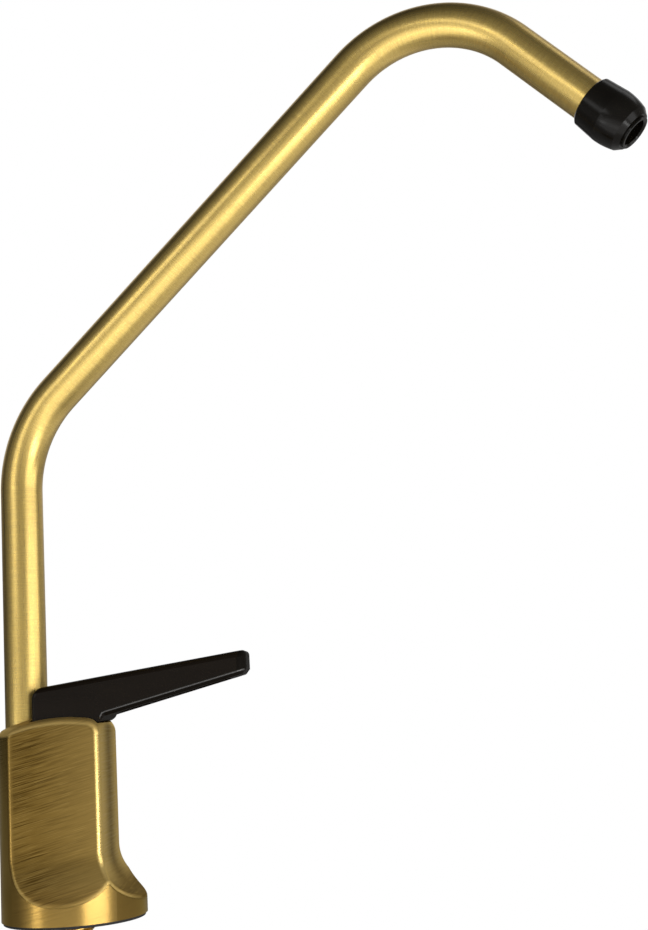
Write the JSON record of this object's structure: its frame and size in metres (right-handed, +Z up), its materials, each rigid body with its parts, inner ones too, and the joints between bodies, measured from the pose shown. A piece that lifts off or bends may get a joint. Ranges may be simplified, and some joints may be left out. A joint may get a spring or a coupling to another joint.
{
  "type": "drinking water tap",
  "caption": "Deck-mounted drinking water tap with a bent swivel spout on a scooped brass body and a press-down lever that lifts a spring-closed valve.",
  "frame": {"origin": "centre of the foot's seating face, on the worktop's surface", "axes": "+Z up along the foot's axis, +X to the front, where the lever points; the spout rests turned toward -Y"},
  "size_m": [0.1984, 0.0849, 0.3209],
  "materials": {
    "brass_body": "brushed antique",
    "brass_spout": "brushed antique",
    "plain_brass": "turned",
    "steel": "bright",
    "lever_plastic": "satin black",
    "nozzle_plastic": "gloss black",
    "clear_plastic": "pale moulded",
    "washer_plastic": "moulded",
    "rubber": "matte"
  },
  "bodies": {
    "base": {"faucet_body": "brass_body", "base_gasket": "rubber", "threaded_shank": "plain_brass", "valve_bonnet": "plain_brass", "bonnet_o_ring": "rubber", "stem_o_ring": "rubber", "gland_washer": "plain_brass", "valve_spring": "steel", "spout_set_screw": "steel"},
    "spout": {"spout_tube": "brass_spout", "spout_fitting": "plain_brass", "spout_o_ring_lower": "rubber", "spout_o_ring_upper": "rubber", "nozzle_tip": "nozzle_plastic", "nozzle_seal": "rubber", "flow_straightener": "clear_plastic"},
    "handle": {"lever": "lever_plastic"},
    "stem": {"valve_stem": "plain_brass", "seat_washer": "rubber", "washer_screw": "steel"},
    "clamp": {"counter_washer": "washer_plastic", "lock_washer": "steel", "mounting_nut": "plain_brass"}
  },
  "joints": [
    {"name": "spout_swivel", "type": "hinge", "parent": "base", "child": "spout", "pos_m": [-0.0131, 0, 0.05], "axis": [0, 0, 1], "continuous": true},
    {"name": "lever_press", "type": "hinge", "parent": "base", "child": "handle", "pos_m": [0.0097, 0, 0.0595], "axis": [0, 1, 0], "range_deg": [0, 12], "stiffness_Nm_per_rad": 0.24, "springref_deg": -28.07},
    {"name": "stem_lift", "type": "slide", "parent": "base", "child": "stem", "axis": [0, 0, 1], "range_m": [0, 0.0022], "deforming": ["valve_spring"]},
    {"name": "nut_travel", "type": "slide", "parent": "base", "child": "clamp", "axis": [0, 0, 1], "range_m": [-0.008, 0.026]}
  ],
  "couplings": [
    {"joint": "stem_lift", "follows": "lever_press", "m_per_rad": 0.01002}
  ]
}
